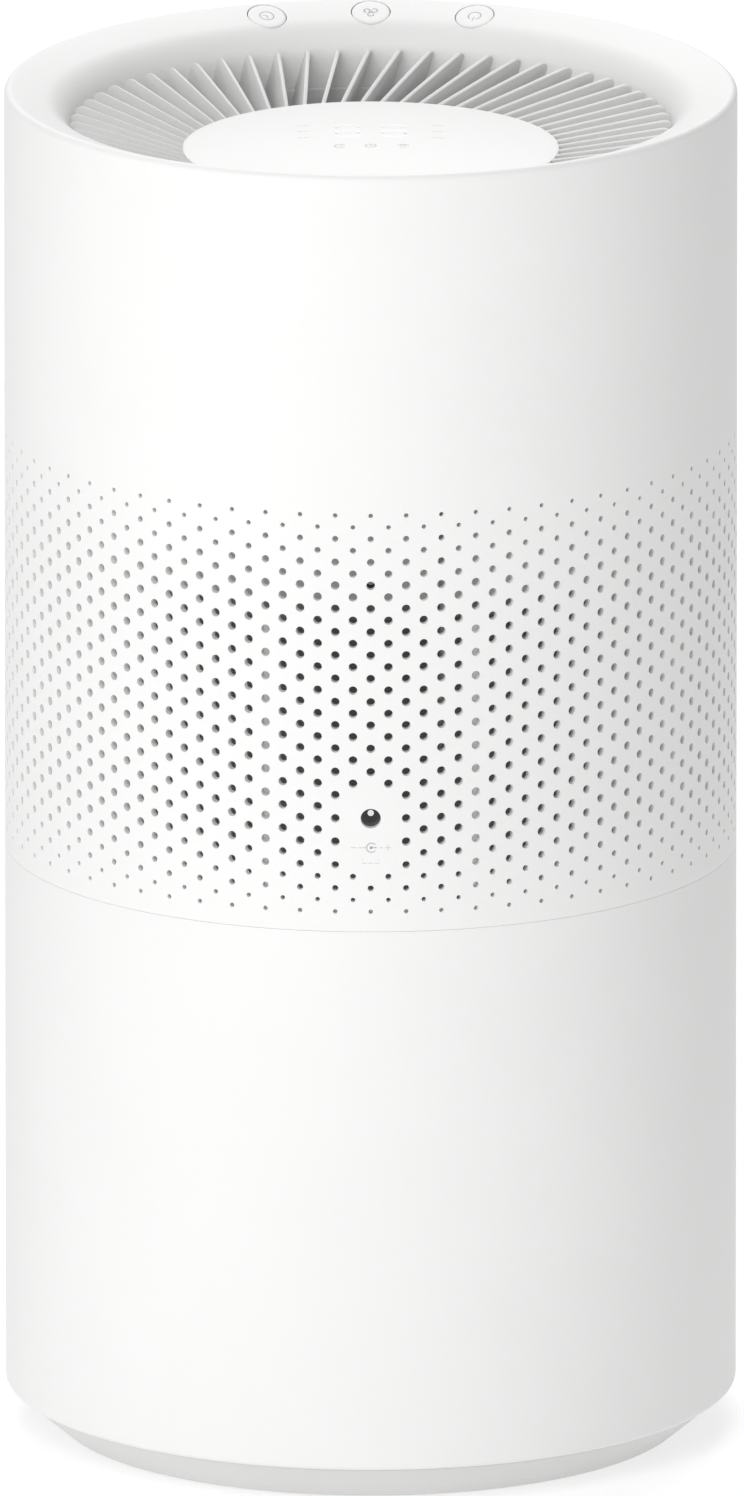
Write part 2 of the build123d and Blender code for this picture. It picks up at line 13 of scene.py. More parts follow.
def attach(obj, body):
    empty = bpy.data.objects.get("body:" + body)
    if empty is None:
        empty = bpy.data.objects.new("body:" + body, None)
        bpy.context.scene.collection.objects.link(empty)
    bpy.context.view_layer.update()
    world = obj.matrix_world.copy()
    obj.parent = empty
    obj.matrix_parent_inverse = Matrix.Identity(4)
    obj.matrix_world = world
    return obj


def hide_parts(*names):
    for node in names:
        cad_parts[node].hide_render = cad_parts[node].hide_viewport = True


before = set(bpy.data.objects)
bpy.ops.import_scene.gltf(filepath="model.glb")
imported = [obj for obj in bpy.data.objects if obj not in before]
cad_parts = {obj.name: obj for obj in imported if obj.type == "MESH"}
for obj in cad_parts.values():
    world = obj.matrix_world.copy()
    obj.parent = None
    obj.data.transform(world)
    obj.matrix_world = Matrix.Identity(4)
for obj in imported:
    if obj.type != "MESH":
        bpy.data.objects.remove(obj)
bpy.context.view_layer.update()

log = logging.getLogger("air_purifier")
MM = 0.001
CREASE = radians(32)
BROAD_PATCHES = 22.0
MERGE_DISTANCE = 2e-6
Point2 = tuple[float, float]
Colour = tuple[float, float, float]
Corner = tuple[float, float, float]
Surface = Callable[[float, float, float], Vector]
Mesh = bmesh.types.BMesh
Links = dict[str | int, object]
Object = bpy.types.Object


class Body(Enum):
    """The rigid bodies that pieces ride on."""

    DRUM = "lower_drum"
    FILTER = "filter"
    HOUSING = "housing"


class Pattern(Enum):
    """How the fine texture of a finish is drawn."""

    GRAIN = "grain"
    GRANULES = "granules"
    WEAVE = "weave"
    BRUSHED = "brushed"
    TRACES = "traces"


# Finishes


class Value:
    """An output in a node tree. Numbers take part in plain sums, which add nodes."""

    def __init__(self, graph: "Graph", socket: bpy.types.NodeSocket) -> None:
        """Wrap a socket of a tree."""
        self.graph = graph
        self.socket = socket

    def sum(self, operation: str, *others: object) -> "Value":
        """Combine this number with up to two others in a math node."""
        links = dict(enumerate((self, *others)))
        return self.graph.take("ShaderNodeMath", links, operation=operation)

    __add__ = partialmethod(sum, "ADD")
    __sub__ = partialmethod(sum, "SUBTRACT")
    __mul__ = partialmethod(sum, "MULTIPLY")
    __truediv__ = partialmethod(sum, "DIVIDE")
    __mod__ = partialmethod(sum, "MODULO")
    __gt__ = partialmethod(sum, "GREATER_THAN")
    __lt__ = partialmethod(sum, "LESS_THAN")

    def __rsub__(self, other: float) -> "Value":
        """Take this number from a plain one."""
        return self.graph.take("ShaderNodeMath", {0: other, 1: self}, operation="SUBTRACT")


class Graph:
    """A node tree under construction."""

    def __init__(self, group: bpy.types.NodeTree) -> None:
        """Work on a node tree."""
        self.group = group

    def connect(self, node: bpy.types.Node, links: Links) -> None:
        """Feed inputs of a node, by name or number, from values of the tree or plain ones."""
        for name, source in links.items():
            if isinstance(source, Value):
                self.group.links.new(source.socket, node.inputs[name])
            else:
                node.inputs[name].default_value = source

    def add(self, kind: str, links: Links | None = None, **settings: object) -> bpy.types.Node:
        """Add a node.

        Args:
            kind: Type of the node.
            links: Input name or number to what feeds it.
            **settings: Properties of the node.

        Returns:
            The node.
        """
        node = self.group.nodes.new(kind)
        for name, setting in settings.items():
            setattr(node, name, setting)
        self.connect(node, links or {})
        return node

    def take(self, kind: str, links: Links, output: str | int = 0, **settings: object) -> Value:
        """Add a node and return one of its outputs."""
        return Value(self, self.add(kind, links, **settings).outputs[output])


@dataclass(frozen=True)
class Finish:
    """A surface finish built from shader nodes on object coordinates.

    inner_light stands for the light that scatters about inside the housing.
    """

    name: str
    colour: Colour
    roughness: float = 0.5
    metallic: float = 0.0
    variation: float = 0.03
    grain: float = 1800.0
    bump: float = 0.04
    coat: float = 0.0
    inner_light: float = 0.0
    pattern: Pattern = Pattern.GRAIN

    def material(self) -> bpy.types.Material:
        """Make the material once and hand out the same one after that.

        Returns:
            The material of this finish.
        """
        made = bpy.data.materials.get(self.name)
        if made:
            return made
        made = bpy.data.materials.new(self.name)
        made.use_nodes = True
        graph = Graph(made.node_tree)
        place = graph.take("ShaderNodeTexCoord", {}, "Object")
        fine = self._fine(graph, place)
        broad = self._noise(graph, place, BROAD_PATCHES)
        relief = {"Strength": self.bump, "Distance": 0.4 * MM, "Height": fine}
        low, high = max(0.02, self.roughness - 0.05), min(1.0, self.roughness + 0.05)
        sockets = {
            "Base Color": self._tint(graph, fine, broad),
            "Metallic": self.metallic,
            "Roughness": graph.take("ShaderNodeMapRange", {"Value": broad, "To Min": low, "To Max": high}),
            "Normal": graph.take("ShaderNodeBump", relief),
            "Coat Weight": self.coat,
            "Coat Roughness": 0.12,
            "Emission Color": (1.0, 1.0, 1.0, 1.0),
            "Emission Strength": self.inner_light,
        }
        graph.connect(graph.group.nodes["Principled BSDF"], sockets)
        return made

    def _noise(self, graph: Graph, place: Value, scale: float) -> Value:
        """Add a noise with so many features per metre."""
        return graph.take("ShaderNodeTexNoise", {"Vector": place, "Scale": scale, "Detail": 3.0}, "Fac")

    def _fine(self, graph: Graph, place: Value) -> Value:
        """Draw the fine texture that the pattern names.

        Args:
            graph: Node tree of the material.
            place: Coordinates that the texture reads.

        Returns:
            A number from 0 to 1 over the surface.
        """
        links = {"Vector": place, "Scale": self.grain}
        if self.pattern is Pattern.GRANULES:
            return graph.take("ShaderNodeTexVoronoi", links, "Distance")
        if self.pattern is Pattern.TRACES:
            return graph.take("ShaderNodeTexBrick", links | {"Mortar Size": 0.05}, "Fac")
        if self.pattern is Pattern.WEAVE:
            links["Distortion"] = 0.4
            warp, weft = (graph.take("ShaderNodeTexWave", links, "Fac", bands_direction=way) for way in "XZ")
            return warp.sum("MAXIMUM", weft)
        if self.pattern is Pattern.BRUSHED:
            place = graph.take("ShaderNodeMapping", {"Vector": place, "Scale": (1.0, 1.0, 0.06)})
        return self._noise(graph, place, self.grain)

    def _tint(self, graph: Graph, fine: Value, broad: Value) -> Value:
        """Vary the colour with the fine texture and with broad, faint patches.

        Args:
            graph: Node tree of the material.
            fine: Fine texture value.
            broad: Broad texture value.

        Returns:
            The colour.
        """
        ramp = graph.add("ShaderNodeValToRGB", {"Fac": fine.sum("MULTIPLY_ADD", 0.6, broad)})
        stops = ramp.color_ramp.elements
        stops[0].position = 0.35
        for stop, share in zip(stops, (1 - self.variation, 1 + self.variation)):
            stop.color = (*[min(1.0, channel * share) for channel in self.colour], 1.0)
        return Value(graph, ramp.outputs["Color"])


WHITE = Finish("satin_white_plastic", (0.80, 0.80, 0.795), 0.55, variation=0.012, bump=0.05)
# Painted shade and light: the grille's white plastic gets a darker colour that paints the shade falling on
# the fins inside the throat, and a faint glow paints some light back onto them.
GRILLE_SHADED_WHITE = Finish("grille_shaded_white_plastic", (0.66, 0.66, 0.655), 0.55, variation=0.015, inner_light=0.03)
COVER_WHITE = Finish("cover_white_plastic", (0.80, 0.80, 0.795), 0.5, variation=0.01, bump=0.02)
# Painted shade: a grey colour that paints the shade on the downward-facing base cone.
BASE_PAINTED_SHADE = Finish("base_painted_shade_plastic", (0.66, 0.66, 0.655), 0.55, variation=0.02, bump=0.08)
INNER_GREY = Finish("inner_grey_plastic", (0.50, 0.50, 0.495), 0.55, bump=0.06)
# Painted light: a lighter grey than the inner grey, with a strong glow, paints the light on the skirt ring in
# the seam gap and on the intake foot and ribs behind the holes.
FRAME_PAINTED_LIGHT = Finish("frame_painted_light_plastic", (0.7, 0.7, 0.695), 0.55, bump=0.06, inner_light=0.25)
DUCT_GREY = Finish("duct_grey_plastic", (0.5, 0.5, 0.495), 0.6, bump=0.06, inner_light=0.13)
SENSOR_GREY = Finish(
    "sensor_dark_plastic", (0.06, 0.06, 0.062), 0.5, bump=0.06, variation=0.1, inner_light=0.035
)
SENSOR_BLACK = Finish("sensor_black_plastic", (0.02, 0.02, 0.022), 0.5, variation=0.1, bump=0.06)
JACK_GREY = Finish(
    "jack_dark_plastic", (0.10, 0.10, 0.102), 0.22, variation=0.1, bump=0.02, coat=0.3, inner_light=0.03
)
IMPELLER_GREY = Finish("impeller_dark_plastic", (0.045, 0.047, 0.05), 0.38, variation=0.08)
PRINT_GREY = Finish("faint_print_grey", (0.62, 0.62, 0.62), 0.5, bump=0.03)
MARK_GREY = Finish("printed_mark_grey", (0.42, 0.42, 0.42), 0.5, bump=0.03)
GHOST_WHITE = Finish("ghost_mark_white", (0.9, 0.9, 0.9), 0.35, variation=0.01, bump=0.02)
LED_WHITE = Finish("display_white_plastic", (0.62, 0.63, 0.63), 0.45, bump=0.03)
RUBBER = Finish("foot_rubber", (0.05, 0.05, 0.052), 0.75, variation=0.12, grain=2500, bump=0.2)
FOAM = Finish(
    "seal_foam", (0.06, 0.06, 0.062), 0.9, variation=0.3, grain=1500, bump=0.5, pattern=Pattern.GRANULES
)
STEEL = Finish("zinc_steel", (0.62, 0.62, 0.61), 0.3, 1.0, 0.06, 900, 0.05, pattern=Pattern.BRUSHED)
BEARING = Finish("polished_steel", (0.72, 0.72, 0.71), 0.14, 1.0, 0.03, 1200, 0.02, pattern=Pattern.BRUSHED)
CORE_STEEL = Finish("laminated_steel", (0.3, 0.31, 0.32), 0.42, 1.0, 0.15, 2600, 0.2, pattern=Pattern.BRUSHED)
ALUMINIUM = Finish("cast_aluminium", (0.68, 0.69, 0.7), 0.36, 1.0, 0.06, 1600, 0.1)
MAGNET = Finish("sintered_magnet", (0.06, 0.06, 0.062), 0.5, 0.4, 0.15, 2200, 0.15)
COPPER = Finish("enamelled_copper", (0.62, 0.26, 0.12), 0.28, 0.9, 0.15, 1400, 0.4, pattern=Pattern.BRUSHED)
PAPER = Finish("filter_paper", (0.78, 0.77, 0.74), 0.9, variation=0.06, grain=1300, bump=0.25)
CARBON = Finish(
    "carbon_granules", (0.018, 0.018, 0.018), 0.8, variation=0.6, grain=420, bump=1.0,
    pattern=Pattern.GRANULES,
)
NET = Finish(
    "prefilter_net", (0.22, 0.22, 0.23), 0.8, variation=0.4, grain=300, bump=0.8, inner_light=0.015,
    pattern=Pattern.WEAVE,
)
STRAP = Finish(
    "woven_strap", (0.10, 0.13, 0.18), 0.85, variation=0.4, grain=420, bump=0.8, pattern=Pattern.WEAVE
)
BOARD = Finish(
    "board_green", (0.02, 0.12, 0.05), 0.35, variation=0.35, grain=160, bump=0.15, pattern=Pattern.TRACES
)
MOULDED = Finish("component_black", (0.03, 0.03, 0.032), 0.42, variation=0.2, grain=2000, bump=0.1)
SLEEVE = Finish("wire_sleeve", (0.5, 0.5, 0.5), 0.5, variation=0.1, grain=1500, bump=0.3)

NODE_FINISHES: dict[Finish, tuple[str, ...]] = {
    BASE_PAINTED_SHADE: ("base_plate",),
    INNER_GREY: (
        *("filter_seat", "filter_bottom_cap", "filter_top_cap"),
        *("fan_deck", "intake_frame", "motor_cradle"),
    ),
    FRAME_PAINTED_LIGHT: ("skirt_ring", "intake_foot", "intake_ribs"),
    DUCT_GREY: ("fan_duct",),
    SENSOR_GREY: ("jack_bracket", "dust_sensor"),
    SENSOR_BLACK: ("sensor_port", "interlock_sensor", "inlet_guard"),
    JACK_GREY: ("dc_jack",),
    IMPELLER_GREY: ("impeller",),
    RUBBER: ("foot_pads", "motor_dampers"),
    FOAM: ("seat_gasket", "filter_gasket", "duct_seal"),
    STEEL: (
        *("base_screws", "motor_screws", "cradle_screws", "deck_screws", "shell_screws"),
        *("motor_shaft", "impeller_nut"),
    ),
    BEARING: ("jack_pin", "motor_bearings"),
    CORE_STEEL: ("motor_stator",),
    ALUMINIUM: ("motor_mount", "rotor_can"),
    MAGNET: ("interlock_magnet", "rotor_magnets"),
    COPPER: ("stator_coils",),
    CARBON: ("carbon_core",),
    NET: ("prefilter_mesh",),
    STRAP: ("pull_strap",),
    BOARD: ("display_board", "control_board", "button_board"),
    MOULDED: ("board_components", "tact_switches"),
    SLEEVE: ("power_lead", "button_lead", "motor_lead"),
}


def dress_nodes() -> None:
    """Give each design node that stays visible its finish."""
    for finish, names in NODE_FINISHES.items():
        for name in names:
            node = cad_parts[name]
            node.data.materials.clear()
            node.data.materials.append(finish.material())
            log.info("dressed %s with %s", name, finish.name)


# Mesh building


def rounded(points: Sequence[Point2], radii: dict[int, float], steps: int = 6) -> list[Point2]:
    """Round some corners of an open outline.

    Args:
        points: Corners of the outline.
        radii: Corner number to radius.
        steps: Straight pieces in each arc.

    Returns:
        The outline with arcs in place of those corners.
    """
    outline: list[Point2] = []
    for number, corner in enumerate(points):
        if number not in radii:
            outline.append(corner)
            continue
        here = Vector(corner)
        before = (Vector(points[number - 1]) - here).normalized()
        after = (Vector(points[(number + 1) % len(points)]) - here).normalized()
        half = before.angle(after) / 2
        radius = radii[number]
        centre = here + (before + after).normalized() * radius / sin(half)
        start = here + before * radius / tan(half) - centre
        end = here + after * radius / tan(half) - centre
        turn = start.angle_signed(end)
        for step in range(steps + 1):
            spoke = start.copy()
            spoke.rotate(Matrix.Rotation(-turn * step / steps, 2))
            outline.append(tuple(centre + spoke))
    return outline


def turns(count: int, start: float = 0.0) -> list[float]:
    """Angles spaced evenly round a circle."""
    return [start + 2 * pi * step / count for step in range(count)]


def bridge(mesh: Mesh, lower: list[bmesh.types.BMVert], upper: list[bmesh.types.BMVert]) -> None:
    """Join two rings of vertices, either of which may be one point repeated.

    Args:
        mesh: Mesh that receives the faces.
        lower: The first ring.
        upper: The second ring, as long as the first.
    """
    for number in range(len(lower)):
        following = (number + 1) % len(lower)
        corners = dict.fromkeys([lower[number], lower[following], upper[following], upper[number]])
        if len(corners) > 2:
            mesh.faces.new(list(corners))


def lathe(mesh: Mesh, profile: Sequence[Point2], segments: int, closed: bool = True) -> None:
    """Turn a profile about Z into a bmesh.

    Args:
        mesh: Mesh that receives the surface.
        profile: Radius and height points, going round the section anticlockwise from the outside.
        segments: Number of steps round the axis.
        closed: Whether the profile's last point joins its first.
    """
    angles = turns(segments, -pi / 2)
    rings = []
    for radius, height in profile:
        if radius < 1e-7:
            rings.append([mesh.verts.new((0, 0, height))] * segments)
        else:
            rings.append([mesh.verts.new((radius * cos(a), radius * sin(a), height)) for a in angles])
    pairs = list(zip(rings, rings[1:] + rings[:1]))
    for lower, upper in pairs if closed else pairs[:-1]:
        bridge(mesh, lower, upper)


def loft(mesh: Mesh, start: Sequence[Vector], end: Sequence[Vector]) -> None:
    """Add a closed solid between two outlines with as many corners as each other."""
    near, far = ([mesh.verts.new(corner) for corner in outline] for outline in (start, end))
    mesh.faces.new(near[::-1])
    mesh.faces.new(far)
    bridge(mesh, near, far)


def prism(mesh: Mesh, outline: Sequence[Vector], depth: Vector) -> None:
    """Add a closed prism from an outline and the step to its other end."""
    loft(mesh, outline, [corner + depth for corner in outline])


def box(mesh: Mesh, low: Corner, high: Corner) -> None:
    """Add an upright box between two opposite corners given in millimetres."""
    (x0, y0, z0), (x1, y1, z1) = low, high
    outline = [Vector((x, y, z0)) * MM for x, y in ((x0, y0), (x1, y0), (x1, y1), (x0, y1))]
    prism(mesh, outline, Vector((0, 0, z1 - z0)) * MM)


def disc(
    mesh: Mesh, radius: float, low: float, high: float, centre: Point2 = (0, 0), segments: int = 48
) -> None:
    """Add an upright closed cylinder.

    Args:
        mesh: Mesh that receives it.
        radius: Its radius.
        low: Height of its lower face.
        high: Height of its upper face.
        centre: Place of its axis.
        segments: Number of sides.
    """
    ring = [Vector((centre[0] + radius * cos(a), centre[1] + radius * sin(a), low)) for a in turns(segments)]
    prism(mesh, ring, Vector((0, 0, high - low)))


def place_object(name: str, data: bpy.types.ID) -> Object:
    """Make an object from its data and link it to the scene."""
    piece = bpy.data.objects.new(name, data)
    bpy.context.scene.collection.objects.link(piece)
    return piece


def new_object(name: str, mesh: Mesh, finish: Finish) -> Object:
    """Turn a bmesh into an object with smooth faces and sharp creases.

    Args:
        name: Name of the piece.
        mesh: Its surface, which is freed.
        finish: Its finish.

    Returns:
        The object, linked to the scene.
    """
    data = bpy.data.meshes.new(name)
    mesh.to_mesh(data)
    mesh.free()
    data.materials.append(finish.material())
    piece = place_object(name, data)
    smooth(piece)
    return piece


def smooth(piece: Object) -> None:
    """Shade a piece smooth and keep its hard edges sharp."""
    piece.data.shade_smooth()
    piece.data.set_sharp_from_angle(angle=CREASE)


def bevel(piece: Object, width: float, segments: int = 2) -> None:
    """Round the hard edges of a piece and apply the result.

    Args:
        piece: Piece to round.
        width: Width of the rounding.
        segments: Steps across it.
    """
    modifier = piece.modifiers.new("edge_rounding", "BEVEL")
    modifier.width = width
    modifier.segments = segments
    modifier.limit_method = "ANGLE"
    modifier.angle_limit = radians(40)
    apply_modifiers(piece)


def apply_modifiers(piece: Object) -> None:
    """Replace a piece's mesh by its evaluated mesh and drop its modifiers."""
    graph = bpy.context.evaluated_depsgraph_get()
    graph.update()
    result = bpy.data.meshes.new_from_object(piece.evaluated_get(graph))
    piece.modifiers.clear()
    piece.data = result


def cut(piece: Object, cutter: Object) -> None:
    """Cut one piece with another, which is removed."""
    modifier = piece.modifiers.new("cut", "BOOLEAN")
    modifier.operation = "DIFFERENCE"
    modifier.solver = "EXACT"
    modifier.object = cutter
    apply_modifiers(piece)
    bpy.data.objects.remove(cutter)


def settle(piece: Object, body: Body | str, slot: str, *nodes: str) -> None:
    """Attach a finished piece to its body, hide the design nodes that it replaces and log its face count.

    Args:
        piece: The finished piece.
        body: Body that it rides on.
        slot: Material slot of the record; not used.
        *nodes: Design nodes that it replaces.
    """
    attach(piece, body.value if isinstance(body, Body) else body)
    if nodes:
        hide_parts(*nodes)
    log.info("piece %s: %d faces", piece.name, len(piece.data.polygons))


# Geometry nodes


class Tree(Graph):
    """A Geometry Nodes tree under construction."""

    def __init__(self, name: str) -> None:
        """Start a tree with a geometry input and output."""
        super().__init__(bpy.data.node_groups.new(name, "GeometryNodeTree"))
        self.sockets: dict[str, bpy.types.NodeTreeInterfaceSocket] = {}
        for way in ("OUTPUT", "INPUT"):
            self.group.interface.new_socket("Geometry", in_out=way, socket_type="NodeSocketGeometry")
        self.entry = self.group.nodes.new("NodeGroupInput")
        self.exit = self.group.nodes.new("NodeGroupOutput")

    def inputs(self, kind: str, *names: str) -> None:
        """Add named inputs of one type, such as Float, Int, Object or Material."""
        for name in names:
            made = self.group.interface.new_socket(name, in_out="INPUT", socket_type=f"NodeSocket{kind}")
            self.sockets[name] = made

    def given(self, *names: str) -> list[Value]:
        """Read inputs inside the tree."""
        return [Value(self, self.entry.outputs[name]) for name in names]

    def index(self) -> Value:
        """Number of the point at hand."""
        return self.take("GeometryNodeInputIndex", {})

    def attributes(self, *names: str) -> list[Value]:
        """Read named numbers from the geometry."""
        kind = "GeometryNodeInputNamedAttribute"
        return [self.take(kind, {"Name": name}, data_type="FLOAT") for name in names]

    def points(self, count: Value, place: dict[str, Value], **numbers: Value) -> Value:
        """Add points that carry named numbers.

        Args:
            count: Number of points.
            place: Axis to coordinate.
            **numbers: What each point carries.

        Returns:
            The points.
        """
        position = self.take("ShaderNodeCombineXYZ", place)
        points = self.take("GeometryNodePoints", {"Count": count, "Position": position})
        for name, value in numbers.items():
            links = {"Geometry": points, "Name": name, "Value": value}
            points = self.take("GeometryNodeStoreNamedAttribute", links, data_type="FLOAT", domain="POINT")
        return points

    def spread(self, points: Value, geometry: Value, **links: Value) -> Value:
        """Put a copy of a geometry on each point."""
        return self.take("GeometryNodeInstanceOnPoints", {"Points": points, "Instance": geometry, **links})

    def mesh_of(self, owner: Value) -> Value:
        """Read the mesh of an object."""
        return self.take("GeometryNodeObjectInfo", {"Object": owner}, "Geometry")

    def finish(self, geometry: Value) -> None:
        """End the tree in real geometry with the material that is given."""
        (material,) = self.given("Material")
        real = self.take("GeometryNodeRealizeInstances", {"Geometry": geometry})
        dressed = self.take("GeometryNodeSetMaterial", {"Geometry": real, "Material": material})
        self.connect(self.exit, {0: dressed})

    def run(self, piece: Object, values: dict[str, object]) -> None:
        """Run the tree on a piece and keep the result as a plain mesh.

        Args:
            piece: Piece whose mesh goes in.
            values: Input name to value.
        """
        modifier = piece.modifiers.new(self.group.name, "NODES")
        modifier.node_group = self.group
        for name, value in values.items():
            modifier[self.sockets[name].identifier] = value
        apply_modifiers(piece)


class RingTree(Tree):
    """Copies of a mesh turned evenly about Z."""

    def __init__(self) -> None:
        """Build the tree with inputs for the count, the first angle and the finish."""
        super().__init__("copies_round_axis")
        self.inputs("Int", "Count")
        self.inputs("Float", "First Angle")
        self.inputs("Material", "Material")
        count, first, geometry = self.given("Count", "First Angle", "Geometry")
        rotation = self.take("ShaderNodeCombineXYZ", {"Z": self.index() * (2 * pi) / count + first})
        points = self.take("GeometryNodePoints", {"Count": count})
        self.finish(self.spread(points, geometry, Rotation=rotation))

    def copy_round(self, piece: Object, count: int, finish: Finish, first: float = 0.0) -> None:
        """Repeat a piece's mesh about Z.

        Args:
            piece: Piece whose mesh is the first copy.
            count: Number of copies.
            finish: Finish of the result.
            first: Angle of the first copy.
        """
        self.run(piece, {"Count": count, "First Angle": first, "Material": finish.material()})


class PerforationTree(Tree):
    """A cylinder wall made of staggered cells, each with a round hole."""

    def __init__(self) -> None:
        """Build the tree with inputs for the band's sizes, its cells and its finish."""
        super().__init__("perforated_wall")
        self.inputs("Int", "Columns", "Rows", "First Blank Row", "Last Blank Row")
        self.inputs("Float", "Cell Width", "Row Pitch", "Top Row Height", "Hole Radius", "Radius", "Wall")
        self.inputs("Object", "Plain Cell", "Half Cell")
        self.inputs("Material", "Material")
        geometry, plain = self.given("Geometry", "Plain Cell")
        drop = {"Geometry": self._grid(), "Selection": self.attributes("extra")[0]}
        kept = self.take("GeometryNodeDeleteGeometry", drop, domain="POINT")
        split = {"Geometry": kept, "Selection": self.attributes("blank")[0]}
        blank, holed = self.add("GeometryNodeSeparateGeometry", split, domain="POINT").outputs
        joined = self.add("GeometryNodeJoinGeometry")
        holed_cells = self.spread(Value(self, holed), geometry)
        plain_cells = self.spread(Value(self, blank), self.mesh_of(plain))
        for part in (holed_cells, plain_cells, self._ends()):
            self.connect(joined, {0: part})
        real = self.take("GeometryNodeRealizeInstances", {"Geometry": Value(self, joined.outputs[0])})
        merge = {"Geometry": self._bend(real), "Distance": MERGE_DISTANCE}
        self.finish(self.take("GeometryNodeMergeByDistance", merge))

    def _grid(self) -> Value:
        """Lay out one point per cell. Holes shrink over the outer three rows, and a patch is left blank.

        Returns:
            Points that carry their place, their hole, and whether they are blank or beyond a short column.
        """
        columns, rows = self.given("Columns", "Rows")
        first_blank, last_blank = self.given("First Blank Row", "Last Blank Row")
        width, pitch, top, hole = self.given("Cell Width", "Row Pitch", "Top Row Height", "Hole Radius")
        index = self.index()
        column = ((index + 0.5) / rows).sum("FLOOR")
        row = index - column * rows
        odd = column % 2.0
        last = rows - 1.0 - odd
        u = column * width
        v = top - (row + odd * 0.5) * pitch
        short = 3.0 - row.sum("MINIMUM", last - row).sum("MINIMUM", 3.0)
        opening = hole * (1.0 - short * short.sum("MULTIPLY_ADD", 0.012, 0.119))
        beside = column.sum("MINIMUM", columns - column) < 1.5
        blank = (row > first_blank - 0.5) * (row < last_blank + 0.5 - odd) * beside
        numbers = {"cell_u": u, "cell_v": v, "opening": opening, "blank": blank, "extra": row > last + 0.5}
        return self.points(columns * rows, {"X": u, "Y": v}, **numbers)

    def _ends(self) -> Value:
        """Fill the half cells above and below the short columns.

        Returns:
            The filling cells as instances.
        """
        columns, rows, width, pitch = self.given("Columns", "Rows", "Cell Width", "Row Pitch")
        top, half = self.given("Top Row Height", "Half Cell")
        index = self.index()
        pair = ((index + 0.5) / 2.0).sum("FLOOR")
        lower = index - pair * 2.0
        u = pair.sum("MULTIPLY_ADD", 2.0, 1.0) * width
        v = top + pitch * 0.25 - lower * (pitch * (rows - 0.5))
        points = self.points(columns, {"X": u, "Y": v}, cell_u=u, cell_v=v)
        return self.spread(points, self.mesh_of(half))

    def _bend(self, flat: Value) -> Value:
        """Open the holes to their size and roll the flat wall into a cylinder.

        Args:
            flat: The flat wall: width along X, height along Y, and 0 or 1 through it on Z.

        Returns:
            The rolled wall.
        """
        radius, wall = self.given("Radius", "Wall")
        u, v, opening, rim = self.attributes("cell_u", "cell_v", "opening", "rim")
        position = {0: self.take("GeometryNodeInputPosition", {})}
        x, y, depth = (Value(self, socket) for socket in self.add("ShaderNodeSeparateXYZ", position).outputs)
        scale = rim.sum("MULTIPLY_ADD", opening - 1.0, 1.0)
        across = (x - u).sum("MULTIPLY_ADD", scale, u)
        height = (y - v).sum("MULTIPLY_ADD", scale, v)
        angle = across / radius - pi / 2
        reach = radius - depth * wall
        rolled = {"X": reach * angle.sum("COSINE"), "Y": reach * angle.sum("SINE"), "Z": height}
        place = self.take("ShaderNodeCombineXYZ", rolled)
        return self.take("GeometryNodeSetPosition", {"Geometry": flat, "Position": place})


# Upper shell


@dataclass
class Rim:
    """The sloping rim that the shell, the buttons and their icons share."""

    radius: float = 115 * MM
    top: float = 431.5 * MM
    slope: float = radians(18.8)
    crest_round: float = 2 * MM

    def height(self, radius: float) -> float:
        """Height of the rim's slope at a radius, before its crest is rounded."""
        corner = self.top - self.crest_round + self.crest_round / tan((pi / 2 - self.slope) / 2)
        return corner - (self.radius - radius) * tan(self.slope)

    def surface(self, x: float, y: float, lift: float) -> Vector:
        """Point above the rim at a place in plan."""
        radius = hypot(x, y)
        centre = self.radius - self.crest_round
        if radius < centre - self.crest_round * sin(self.slope):
            return Vector((x, y, self.height(radius) + lift))
        crest = self.top - self.crest_round + sqrt(self.crest_round**2 - (radius - centre) ** 2)
        return Vector((x, y, crest + lift))


@dataclass
class Strokes:
    """Flat line drawings that are laid on a curved surface as thin inlays."""

    width: float = 0.35 * MM
    lines: list[list[Point2]] = field(default_factory=list)

    def line(self, *points: Point2) -> "Strokes":
        """Add a line through points given in millimetres."""
        self.lines.append([(x * MM, y * MM) for x, y in points])
        return self

    def arc(self, centre: Point2, radius: float, first: float, last: float, steps: int = 20) -> "Strokes":
        """Add an arc.

        Args:
            centre: Centre in millimetres.
            radius: Radius in millimetres.
            first: First angle in degrees.
            last: Last angle in degrees.
            steps: Straight pieces in the arc.

        Returns:
            The drawing.
        """
        angles = [radians(first + (last - first) * step / steps) for step in range(steps + 1)]
        return self.line(*[(centre[0] + radius * cos(a), centre[1] + radius * sin(a)) for a in angles])

    def lay(self, mesh: Mesh, surface: Surface, rise: float = 0.02 * MM, root: float = 0.15 * MM) -> None:
        """Lay the drawing on a surface.

        Args:
            mesh: Mesh that receives the inlays.
            surface: Gives a point from two flat coordinates and a lift.
            rise: How far the inlay stands out.
            root: How deep it reaches in.
        """
        for line in self.lines:
            for (x0, y0), (x1, y1) in zip(line, line[1:]):
                length = hypot(x1 - x0, y1 - y0)
                dx = (x1 - x0) / length * self.width / 2
                dy = (y1 - y0) / length * self.width / 2
                flat = [
                    (x0 - dx + dy, y0 - dy - dx),
                    (x1 + dx + dy, y1 + dy - dx),
                    (x1 + dx - dy, y1 + dy + dx),
                    (x0 - dx - dy, y0 - dy + dx),
                ]
                loft(mesh, [surface(x, y, -root) for x, y in flat], [surface(x, y, rise) for x, y in flat])


